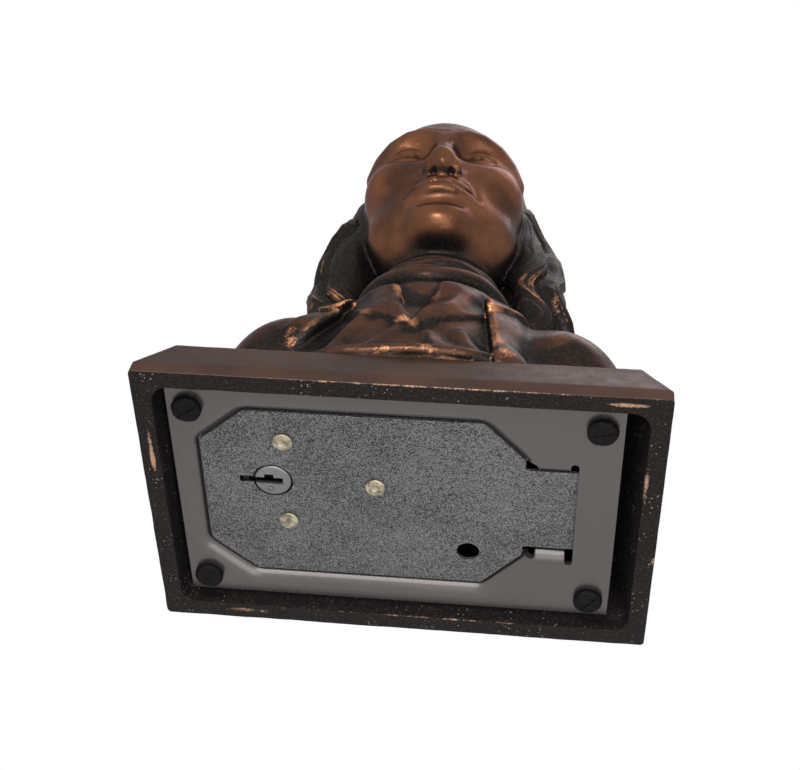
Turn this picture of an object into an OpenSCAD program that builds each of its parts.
// Portrait bust coin bank with a locking trap door in its foot.
// The front faces -Y, the foot stands on Z = 0, and the origin is at the middle of the foot.

/* [Plinth] */
// Width of the plinth at the foot
plinth_w = 114; // [110:1:118]
// Depth of the plinth at the foot
plinth_d = 73; // [71:1:76]
// Height of the plinth
plinth_h = 17; // [16:0.5:18]
// Height of the upright band round the foot
band_h = 3.5; // [2:0.5:5]
// How far each end leans in at the top
lean_x = 5.3; // [4:0.1:6]
// How far the front and the back lean in at the top
lean_y = 5.2; // [4:0.1:5.5]
// Thickness of the rim that the bank stands on
rim_wall = 4.2; // [3.6:0.1:4.4]

/* [Bust] */
// Height of the whole bank
total_h = 153; // [151:1:155]
// Width across the shoulders
shoulder_w = 98; // [95:1:99]
// Height of the head from the chin to the crown
head_h = 72; // [70:1:74]
// Width of the head without its hair
head_w = 49; // [47:1:51]
// Depth of the head from the forehead to the back
head_d = 61; // [59:1:62]
// Length of the coin slot across the back
slot_l = 36; // [32:1:40]
// Height of the coin slot
slot_h = 4.8; // [4.6:0.1:5.4]

/* [Bottom plate] */
// Width of the bottom plate
plate_w = 98.8; // [98:0.1:100]
// Depth of the bottom plate
plate_d = 60.9; // [60:0.1:62]
// Thickness of the plate's sheet metal
plate_t = 1.2; // [1:0.1:1.3]
// How deep the plate's outer face sits in the foot
plate_z = 3.2; // [2.8:0.1:3.6]
// How far the plate sits to the left in its opening
plate_shift = 1.4; // [0:0.1:2]
// Distance between the screws along the plate
screw_span_x = 89.3; // [89:0.1:90]
// Distance between the screws across the plate
screw_span_y = 50.4; // [50:0.1:51]

/* [Trap door] */
// Thickness of the door's sheet metal
door_t = 1; // [0.9:0.1:1]
// Depth of the door's face below the plate's face
door_sink = 1.4; // [1.3:0.1:1.5]
// Half of the door's depth
door_half_y = 23.8; // [23:0.1:24.2]
// Half of the width of the hinge tab
tab_half = 11.4; // [10.5:0.1:11.5]
// Diameter of the finger hole
finger_d = 5.2; // [4.5:0.1:6]

/* [Lock] */
// Diameter of the lock plug
plug_d = 8.4; // [8:0.1:8.6]
// Reach of the turning bolt from the lock's axis
bolt_reach = 15.6; // [15:0.1:16]
// Diameter of the rivet heads
rivet_d = 4.6; // [4.2:0.1:5]

/* [Hidden] */
$fn = 48;
copper = "#7a4a2e";
grey_steel = "#77736f";
dark_steel = "#5c5e60";
black_iron = "#2d2927";
nickel = "#c9bf9f";

// Bust: where the axis of the rings stands, and how many rings and sides the skin has
axis_y = 1;
skin_rings = 60;
hollow_sides = 24;
hollow_rings = 22;
cap_part = 0.82;
skin_foot = plinth_h - 2;
// How sharply the masses of the bust meet, and how they fade past their edge
blend = 16;
miss_fade = 0.6;
// Hair: degrees that a combed lock takes up, locks on each side, and columns of the skin on a lock and a face
lock_turn = 14;
side_locks = 8;
lock_columns = 3;
face_columns = 36;
face_crowding = 1.2;
lock_rise = 3.2;
lock_groove = 1;
// Dress: thickness of the coat, its lapels and the crossed ends of the neckcloth, and the pitch of its folds
coat_t = 1.5;
lapel_t = 1.5;
leaf_t = 1.2;
fold_pitch = 3.9;
cast_wall = 3.3;
boss_d = 9;
// Sides of a full turn of the casting's small rounds
round_sides = 20;
foot_corner = 1;
hollow_corner = 4;
ceiling_t = 3.5;
slot_z = 42;
neck_z = 70;
torso_x = 1.2;
head_x = 2.2;
head_tilt = 2.6;
half_shoulder = shoulder_w / 2;
crown_r = 0.4 * head_h;
skull_z = total_h - crown_r;
chin_z = total_h - head_h;
half_head = head_w / 2;

// Plate and door levels, counted up from the foot
plate_top = plate_z + plate_t;
door_z = plate_z + door_sink;
door_top = door_z + door_t;
ledge_z = door_top + 0.1;
ledge_top = ledge_z + plate_t;
tray_gap = 0.5;
ledge_w = 3;

// The hinge line lies in the middle of the tab's sheet, just short of the slot's outer edge
tab_edge_x = 39;
hinge_x = tab_edge_x - 0.7;
tab_end_x = 41.6;

// Lock: the axis of the plug and the levels of its parts
lock_x = -29;
lock_y = -4;
case_t = 1;
case_hub_d = 14.4;
case_top = door_top + 1.45;
plug_face = door_z - 0.15;
plug_top = door_top + 1.6;
flange_d = 11;
flange_z = door_top + 0.1;
flange_t = 0.6;
keyway_top = plug_top - 0.6;
tenon_d = 3.2;
pin_d = 1.6;
pin_r = 2.9;
bolt_t = 1.5;
bolt_w = 8;
bolt_hub_d = 10.4;
rivet_hole_d = 2.6;
rivets = [[-26, lock_y - 11.7], [-26, lock_y + 11.7], [-5.7, lock_y]];
screws = [for (sx = [-1, 1], sy = [-1, 1])
    [sx * screw_span_x / 2 - plate_shift, sy * screw_span_y / 2]];
screw_d = 2.8;
screw_head_d = 6.8;
screw_head_h = 1.9;
screw_l = 9;
screw_slot = 0.9;
screw_turns = [35, 70, 15, 50];

// Outline of the door's octagon, from the left end round by the front
door_outline = [[-44.8, 14.9], [-44.8, -14.9], [-34.4, -door_half_y], [18.3, -door_half_y],
    [27.5, -14.1], [27.5, 14.1], [18.3, door_half_y], [-34.4, door_half_y]];

function unit(v) = v / norm(v);
function wrap(list, i) = list[(i + len(list)) % len(list)];

// A closed outline moved outwards by d along its edges, with mitred corners
function grown(outline, d) = [for (i = [0:len(outline) - 1])
    let (a = unit(outline[i] - wrap(outline, i - 1)), b = unit(wrap(outline, i + 1) - outline[i]),
        na = [-a.y, a.x], nb = [-b.y, b.x])
    outline[i] - d * (na + nb) / (1 + na * nb)];

// Faces of a stack of n rings of m points, joined round and closed at both ends
function stack_faces(n, m) = concat(
    [for (i = [0:n - 2], j = [0:m - 1]) each
        let (a = i * m + j, b = i * m + (j + 1) % m) [[a, a + m, b], [b, a + m, b + m]]],
    [[for (j = [0:m - 1]) j]], [[for (j = [m - 1:-1:0]) (n - 1) * m + j]]);

// Faces of n rings of m points whose last ring joins the first
function loop_faces(n, m) = [for (i = [0:n - 1], j = [0:m - 1]) each
    let (k = (i + 1) % n, a = i * m + j, b = i * m + (j + 1) % m, c = k * m + j, d = k * m + (j + 1) % m)
    [[a, c, b], [b, c, d]]];

// Distance from the axis to where a level ray leaves an egg-shaped mass, fading out where it misses
function reach(m, dir, z) =
    let (p = [-m[0].x / m[1].x, (axis_y - m[0].y) / m[1].y],
        q = [dir.x / m[1].x, dir.y / m[1].y],
        a = q * q, mid = -(p * q) / a,
        e = 1 - pow((z - m[0].z) / m[1].z, 2) - p * p + mid * mid * a)
    max(0, e >= 0 ? mid + sqrt(e / a) : mid * pow(max(0, 1 + e / miss_fade), 2));

// Outline radius of several masses blended together
function skin(masses, dir, z) =
    pow([for (m = masses) pow(reach(m, dir, z), blend)] * [for (m = masses) 1], 1 / blend);

// Sideways place of the bust's axis: the head tilts a little above the neck
function axis_x(z) = z < neck_z ? torso_x + (head_x - torso_x) * z / neck_z
    : head_x - (z - neck_z) * tan(head_tilt);

// Height of a ring at the part t of the way up: even steps to the brow, then round the crown
function ring_z(t, low, top, crown) =
    let (brow = top - crown + crown * sin(30))
    t < cap_part ? low + (brow - low) * t / cap_part
    : top - crown + crown * sin(30 + 58 * (t - cap_part) / (1 - cap_part));

// A soft step from 0 to 1 as x passes from a to b
function ease(a, b, x) = let (t = max(0, min(1, (x - a) / (b - a)))) t * t * (3 - 2 * t);

// A soft round bump about a point of the front, in millimetres across and up
function bump(x, z, at, size) = exp(-pow((x - at.x) / size.x, 2) - pow((z - at.y) / size.y, 2));

// The outer masses of the torso, the neckcloth, the head and the hair, as [middle, half sizes]
torso = [
    [[0, -3, 30], [34, 27, 31]],
    [[0, -2.5, 19], [half_shoulder - 2.5, 29, 12]],
    [[0, 6, 33], [37, 19.5, 27]],
    [[0, 4, 52], [26, 19, 16]],
    for (s = [-1, 1]) [[s * (half_shoulder - 18), -1, 33], [17.5, 22, 20.5]],
];
neckwear = [
    [[0, -3, 68], [17, 17.2, 45]],
    [[0, -3.5, 67], [19, 20.4, 13]],
    [[0, -8, 50], [22, 20.5, 10]],
];
head = [
    [[0, 0.5, skull_z], [half_head, head_d / 2, crown_r]],
    [[0, -9, chin_z + 27], [half_head - 3.5, 20.4, 30.5]],
    [[0, -11, chin_z + 13], [half_head - 6.5, 17.6, 13]],
    [[0, -24, chin_z + 5.5], [7.5, 6.4, 5.6]],
    [[0, -24.3, chin_z + 14.6], [9.6, 6.4, 7.5]],
    [[0, -24.5, chin_z + 42.5], [15.5, 5.6, 4]],
    [[0, -25.6, chin_z + 32], [3, 6.2, 11]],
    [[0, -29, chin_z + 24.2], [4.4, 6.4, 4.2]],
    for (s = [-1, 1]) [[s * 13, -18, chin_z + 27.5], [8, 9, 8.5]],
];
hair = [
    [[0, 4.3, chin_z + 38], [25.4, 28.4, 28.6]],
    [[0, 13, chin_z + 18], [25, 18.5, 40]],
    for (s = [-1, 1]) each [
        [[s * 19.8, 2, chin_z + 26], [7.6, 18, 25]],
        [[s * 24, 1, chin_z + 3], [8, 16.5, 25]],
        [[s * 26.2, 0, chin_z - 15], [8, 13, 14]]],
];
coat_collar = [[[0, 1, 61], [26.5, 23, 6]]];
hollow = [
    [[0, -3, 29], [31, 24.2, 28]],
    [[0, -2.5, 18], [half_shoulder - 6, 25.7, 9]],
    [[0, 5.5, 32], [33.5, 16.6, 24]],
    for (s = [-1, 1]) [[s * (half_shoulder - 18), -1, 32], [14.2, 18.6, 17.2]],
    [[0, -1, 66], [13, 13, 45]],
    [[0, -9, chin_z + 25], [half_head - 8, 16.6, 26]],
    [[0, 0.5, skull_z], [half_head - cast_wall, head_d / 2 - cast_wall, crown_r - cast_wall]],
];

// How far the combed lines swing aside at a turn from the back of the head and a height, in locks
function swing(turn, z) = let (drop = chin_z + 50 - z)
    0.3 * sin(radian * (drop / 6.5 + turn / 40)) + 0.14 * sin(radian * (drop / 3.3 + turn / 17));
radian = 180 / PI;

// Turn of a combed line from the back of the head; the lines run straight below the hair and over the crown
function combed(line, z, turn, steps = 4) = steps == 0 ? turn :
    combed(line, z, lock_turn * (line - swing(turn, z) * ease(44, 56, z)
        * (1 - ease(chin_z + 56, chin_z + 66, z))), steps - 1);

// Columns of the skin: a few on each lock, then the face's, which crowd at its middle
hair_columns = 2 * side_locks * lock_columns;
function column_line(j) = j <= hair_columns ? j / lock_columns - side_locks :
    let (s = 2 * (j - hair_columns) / face_columns - 1) side_locks + 0.5 * face_part * (1 + sign(s)
        * pow(abs(s), face_crowding));
face_part = 360 / lock_turn - 2 * side_locks;
function column_turn(j, z) = j <= hair_columns ? combed(column_line(j), z, lock_turn * column_line(j)) :
    let (a = column_turn(hair_columns, z), b = column_turn(0, z) + 360,
        t = (column_line(j) - side_locks) / face_part) a + (b - a) * t;

// Combed locks, rounded across, that start below the crown, curl out at their ends and fade at the face
function lock_relief(j, z) =
    let (line = column_line(j), turn = lock_turn * line, across = 2 * (line - floor(line)) - 1,
        top = chin_z + 46 + 14 * cos(turn), low = chin_z - 26,
        fade = ease(low - 4, low + 3, z) * (1 - ease(top - 16, top - 2, z)))
    j > hair_columns ? 0 : fade * (lock_rise * sqrt(1 - across * across) - lock_groove
        + 1.6 * (1 - ease(low + 2, low + 12, z)));

// Hair stops at a hairline that runs up and back from the temples
function hairline(z) = -13.5 + 0.0105 * pow(max(0, min(60, z - chin_z - 20)), 2);
function hair_reach(dir, j, z) =
    let (r = skin(hair, dir, z) + lock_relief(j, z), limit = hairline(z) - axis_y)
    dir.y < 0 ? (limit < 0 ? min(r, limit / dir.y) : 0) : r * dir.y < limit ? 0 : r;

// Half width of the coat's front opening at a height, wider on the left
function opening(x, z) = x < 0 ? max(15, min(28.5, 19 + 0.6 * (45 - z)))
    : max(13, min(18, 14.2 + 0.13 * (45 - z)));

// Coat with lapels and a standing collar round its opening, and hollows below the shoulders
function coat_reach(dir, z) =
    let (r = max(skin(torso, dir, z), reach(coat_collar[0], dir, z)), x = r * dir.x, edge = opening(x, z),
        front = dir.y < 0 ? 1 : 0,
        worn = front == 0 ? 1 : ease(edge - 0.8, edge + 0.8, abs(x)),
        lapel = front * (1 - ease(edge + 7, edge + 11, abs(x))) * (1 - ease(56, 60, z)))
    worn == 0 ? 0 : worn * (r + coat_t + lapel_t * lapel - 1.8 * front * bump(abs(x), z, [35, 27.5], [8, 7]));

// Shirt front with the crossed ends of the neckcloth, its hem and the folds round the neck
function shirt_reach(dir, z) =
    let (r = skin(concat(torso, neckwear), dir, z), x = r * dir.x,
        front = ease(0, 0.25, -dir.y),
        crossed = ease(0, 1.4, z - 29.3 - 0.78 * abs(x + 2.3)) * (1 - ease(52, 56, z)),
        hem = bump(0, z, [0, 19.2], [1, 1.8]),
        wound = 0.8 * sin(360 * (z - 57) / fold_pitch) * ease(57, 60, z) * (1 - ease(76, 79, z)))
    r + front * (leaf_t * crossed + 1.6 * hem) + wound;

// Face: eye sockets, eyes, the line of the mouth and the dip above the chin
function face_relief(x, dir, z) = dir.y > -0.2 ? 0 :
    1.6 * bump(abs(x), z, [9.6, chin_z + 36], [4.4, 2.6])
    - 3.6 * bump(abs(x), z, [9.6, chin_z + 36.6], [6.4, 4.4])
    - 0.9 * bump(x, z, [0, chin_z + 14], [8, 1.1])
    - 1.1 * bump(x, z, [0, chin_z + 8.6], [7, 1.9]);

// Outer radius of the dressed bust
function bust_reach(dir, j, z) =
    let (parts = [coat_reach(dir, z), shirt_reach(dir, z), skin(head, dir, z), hair_reach(dir, j, z)],
        r = pow([for (p = parts) pow(p, blend)] * [1, 1, 1, 1], 1 / blend))
    r + face_relief(r * dir.x, dir, z);

module ring_stack(rings, sides) {
    polyhedron([for (ring = rings) each ring], stack_faces(len(rings), sides));
}

module bust_skin() {
    sides = hair_columns + face_columns;
    ring_stack([for (i = [0:skin_rings - 1])
        let (z = ring_z(i / (skin_rings - 1), skin_foot, total_h, crown_r))
        [for (j = [sides - 1:-1:0])
            let (turn = column_turn(j, z), dir = [sin(turn), cos(turn)], r = bust_reach(dir, j, z))
            [axis_x(z) + r * dir.x, axis_y + r * dir.y, z]]], sides);
}

module bust_hollow() {
    top = total_h - cast_wall;
    ring_stack([for (i = [0:hollow_rings - 1])
        let (z = ring_z(i / (hollow_rings - 1), skin_foot - 3, top, crown_r - cast_wall))
        [for (j = [0:hollow_sides - 1])
            let (turn = 360 * j / hollow_sides, dir = [cos(turn), sin(turn)], r = skin(hollow, dir, z))
            [axis_x(z) + r * dir.x, axis_y + r * dir.y, z]]], hollow_sides);
}

// A block with rounded upright corners whose four sides lean in above the band
module leaning_block(w, d, low, high, corner) {
    part = (high - band_h) / (plinth_h - band_h);
    translate([0, 0, low]) linear_extrude(band_h - low + 0.001) rounded_foot(w, d, corner);
    translate([0, 0, band_h]) linear_extrude(high - band_h, slices = 1,
        scale = [1 - 2 * part * lean_x / w, 1 - 2 * part * lean_y / d]) rounded_foot(w, d, corner);
}

module rounded_foot(w, d, corner)
    offset(corner, $fn = round_sides) square([w - 2 * corner, d - 2 * corner], center = true);

module bust_casting() color(copper) difference() {
    union() {
        difference() {
            union() {
                leaning_block(plinth_w, plinth_d, 0, plinth_h, foot_corner);
                bust_skin();
            }
            leaning_block(plinth_w - 2 * rim_wall, plinth_d - 2 * rim_wall, -1, plinth_h - ceiling_t,
                hollow_corner);
            bust_hollow();
            translate([torso_x - slot_l / 2, 10, slot_z]) cube([slot_l, 30, slot_h]);
        }
        for (p = screws) translate([p.x, p.y, plate_top])
            cylinder(d = boss_d, h = plinth_h - plate_top - 2, $fn = round_sides);
    }
    for (p = screws) translate([p.x, p.y, plate_top - 1])
        cylinder(d = screw_d + 0.2, h = screw_l + 1, $fn = round_sides);
}

// Section of the pressed tray as [distance outside the door, height]: its rounded shoulder, wall and ledge
tray_section = [[3.2, plate_z], [2.2, plate_z], [1.35, plate_z + 0.25], [0.75, plate_z + 0.8],
    [tray_gap, plate_z + 1.6], [tray_gap, ledge_z], [-ledge_w, ledge_z], [-ledge_w, ledge_top],
    [tray_gap + 0.7, ledge_top], [tray_gap + 1.15, ledge_top - 0.45], [tray_gap + 1.2, plate_top + 0.5],
    [2.2, plate_top], [3.2, plate_top]];

module pressed_tray() {
    n = len(tray_section);
    points = [for (i = [n - 1:-1:0]) each
        let (ring = grown(door_outline, tray_section[i][0])) [for (p = ring) [p.x, p.y, tray_section[i][1]]]];
    polyhedron(points, loop_faces(n, len(door_outline)));
}

// The hinge tab's slits: side slits, round reliefs at their inner end and a slot across their outer end
module tab_cuts() {
    side = tab_half + 0.6;
    translate([20, -side, 0]) cube([tab_edge_x - 20, 2 * side, 10]);
    for (s = [-1, 1]) {
        translate([29, s * (side + 0.7), 0]) cylinder(r = 1.5, h = 10);
        translate([tab_edge_x - 0.9, s * (side + 2.1), 0]) cylinder(r = 0.9, h = 10);
    }
    translate([tab_edge_x - 1.8, -side - 2.1, 0]) cube([1.8, 2 * side + 4.2, 10]);
}

module bottom_plate() color(grey_steel) difference() {
    union() {
        difference() {
            translate([-plate_w / 2 - plate_shift, -plate_d / 2, plate_z]) cube([plate_w, plate_d, plate_t]);
            translate([0, 0, plate_z - 1]) linear_extrude(plate_t + 2) polygon(grown(door_outline, 2.6));
        }
        pressed_tray();
    }
    tab_cuts();
    for (p = screws) translate([p.x, p.y, 0]) cylinder(d = screw_d + 0.6, h = 10);
}

module plate_screws() color(black_iron) for (i = [0:len(screws) - 1])
    translate([screws[i].x, screws[i].y, plate_z]) rotate([0, 0, screw_turns[i]]) difference() {
        rotate_extrude() polygon([[0, -screw_head_h], [1.9, -screw_head_h], [2.9, -screw_head_h + 0.5],
            [screw_head_d / 2, -0.6], [screw_head_d / 2, 0], [screw_d / 2, 0], [screw_d / 2, screw_l - 1],
            [0.5, screw_l], [0, screw_l]]);
        translate([-screw_head_d, -screw_slot / 2, -screw_head_h - 1])
            cube([2 * screw_head_d, screw_slot, 2 * screw_slot]);
    }

module trap_door() color(dark_steel) translate([0, 0, door_z]) difference() {
    linear_extrude(door_t) union() {
        polygon(door_outline);
        translate([20, -tab_half]) square([tab_end_x - 20, 2 * tab_half]);
    }
    translate([lock_x, lock_y, -1]) cylinder(d = plug_d + 0.3, h = door_t + 2);
    translate([lock_x - 7.6, lock_y - 0.85, -1]) cube([7.6, 1.7, door_t + 2]);
    translate([15.2, 14.2, -1]) cylinder(d = finger_d, h = door_t + 2);
    for (p = rivets) translate([p.x, p.y, -1]) cylinder(d = rivet_hole_d, h = door_t + 2);
}

// Lock case: a stamped plate with a lobe at each rivet and a hub that holds the plug's flange
module lock_case() color(grey_steel) difference() {
    union() {
        translate([0, 0, door_top]) linear_extrude(case_t) for (p = rivets) {
            arm = p - [lock_x, lock_y];
            translate(p) circle(r = 4);
            translate([lock_x, lock_y]) rotate(atan2(arm.y, arm.x)) translate([0, -4]) square([norm(arm), 8]);
        }
        translate([lock_x, lock_y, door_top]) cylinder(d = case_hub_d, h = case_top - door_top);
    }
    translate([lock_x, lock_y, door_top - 1]) {
        cylinder(d = flange_d + 0.4, h = flange_z + flange_t + 0.1 - door_top + 1);
        cylinder(d = plug_d + 0.4, h = case_top - door_top + 2);
    }
    for (p = rivets) translate([p.x, p.y, door_top - 1]) cylinder(d = rivet_hole_d, h = case_t + 2);
}

module pin_place(z) translate([lock_x, lock_y, z]) rotate([0, 0, 45]) translate([pin_r, 0, 0]) children();

module lock_plug() color(nickel) difference() {
    translate([lock_x, lock_y, 0]) difference() {
        union() {
            translate([0, 0, plug_face]) cylinder(d = plug_d, h = plug_top - plug_face);
            translate([0, 0, flange_z]) cylinder(d = flange_d, h = flange_t);
            translate([0, 0, plug_top - 1]) cylinder(d = tenon_d, h = bolt_t + 1);
        }
        translate([-6, -0.7, plug_face - 1]) cube([8.3, 1.4, flange_z - plug_face + 1]);
        translate([-4, -0.7, plug_face - 1]) cube([6.3, 1.4, keyway_top - plug_face + 1]);
        translate([-1.9, -1.8, plug_face - 1]) cube([2.1, 1.8, keyway_top - plug_face + 1]);
        translate([-0.6, 2.3, plug_face - 1]) cylinder(d = 1.6, h = 1.25);
    }
    pin_place(plug_top - 1) cylinder(d = pin_d, h = 3);
}

// Headed pin that holds the bolt to the plug's end and turns it
module plug_drive_pin() color(black_iron) pin_place(plug_top - 1) {
    cylinder(d = pin_d, h = bolt_t + 1.1);
    translate([0, 0, bolt_t + 1.1]) cylinder(d = pin_d + 1, h = 0.6);
}

// Turning bolt: a hub on the plug's tenon and an arm that swings out over the plate's ledge
module lock_bolt() color(grey_steel) difference() {
    translate([lock_x, lock_y, plug_top + 0.05]) linear_extrude(bolt_t) difference() {
        intersection() {
            union() {
                circle(d = bolt_hub_d);
                translate([-bolt_w / 2, 0]) square([bolt_w, bolt_reach]);
            }
            circle(r = bolt_reach, $fn = 96);
        }
        circle(d = tenon_d + 0.1);
    }
    pin_place(plug_top - 1) cylinder(d = pin_d + 0.1, h = 4);
}

module lock_rivets() color(nickel) for (p = rivets) translate([p.x, p.y, door_z]) rotate_extrude()
    polygon([[0, -0.65], [1.2, -0.55], [2, -0.3], [rivet_d / 2, 0], [1.25, 0], [1.25, door_t + case_t],
        [2, door_t + case_t], [1.7, door_t + case_t + 0.35], [0, door_t + case_t + 0.4]]);

bust_casting();
bottom_plate();
plate_screws();
trap_door();
lock_case();
lock_plug();
plug_drive_pin();
lock_bolt();
lock_rivets();
